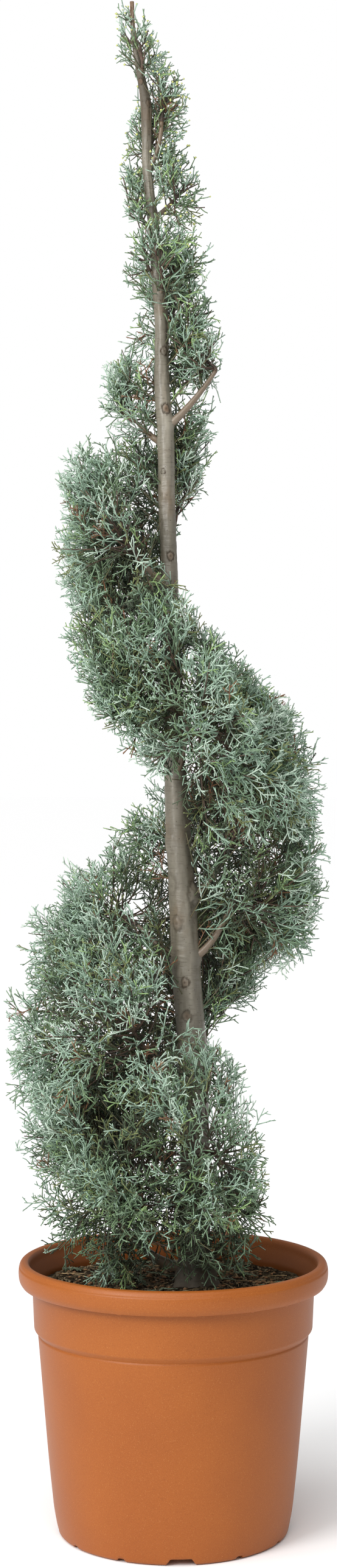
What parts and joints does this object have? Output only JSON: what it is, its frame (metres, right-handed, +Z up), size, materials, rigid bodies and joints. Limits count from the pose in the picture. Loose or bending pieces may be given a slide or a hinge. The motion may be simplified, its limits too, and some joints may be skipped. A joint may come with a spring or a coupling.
{
  "type": "spiral topiary",
  "caption": "Blue cypress trained on a bare upright stem, its foliage clipped to a rising spiral, standing in a round rolled-rim plant pot.",
  "frame": {"origin": "middle of the pot's flat underside, on the surface that it stands on", "axes": "+Z up, -Y the front that the picture shows, +X to the right of it"},
  "size_m": [0.4067, 0.4, 1.967],
  "materials": {
    "pot_plastic": "satin moulded terracotta-coloured polypropylene",
    "compost": "dark moist potting compost with litter",
    "bark": "smooth grey-brown bark",
    "foliage": "blue-green scale foliage"
  },
  "bodies": {
    "root": {"Pot": "pot_plastic", "Soil": "compost", "Trunk": "bark", "Bough_01": "bark", "Mass_01": "foliage", "Bough_02": "bark", "Mass_02": "foliage", "Bough_03": "bark", "Mass_03": "foliage", "Bough_04": "bark", "Mass_04": "foliage", "Bough_05": "bark", "Mass_05": "foliage", "Bough_06": "bark", "Mass_06": "foliage", "Bough_07": "bark", "Mass_07": "foliage", "Bough_08": "bark", "Mass_08": "foliage", "Bough_09": "bark", "Mass_09": "foliage", "Bough_10": "bark", "Mass_10": "foliage", "Bough_11": "bark", "Mass_11": "foliage", "Bough_12": "bark", "Mass_12": "foliage", "Bough_13": "bark", "Mass_13": "foliage", "Bough_14": "bark", "Mass_14": "foliage", "Bough_15": "bark", "Mass_15": "foliage", "Bough_16": "bark", "Mass_16": "foliage", "Bough_17": "bark", "Mass_17": "foliage", "Bough_18": "bark", "Mass_18": "foliage", "Bough_19": "bark", "Mass_19": "foliage", "Bough_20": "bark", "Mass_20": "foliage", "Bough_21": "bark", "Mass_21": "foliage", "Bough_22": "bark", "Mass_22": "foliage", "Bough_23": "bark", "Mass_23": "foliage", "Bough_24": "bark", "Mass_24": "foliage", "Bough_25": "bark", "Mass_25": "foliage"}
  },
  "joints": []
}
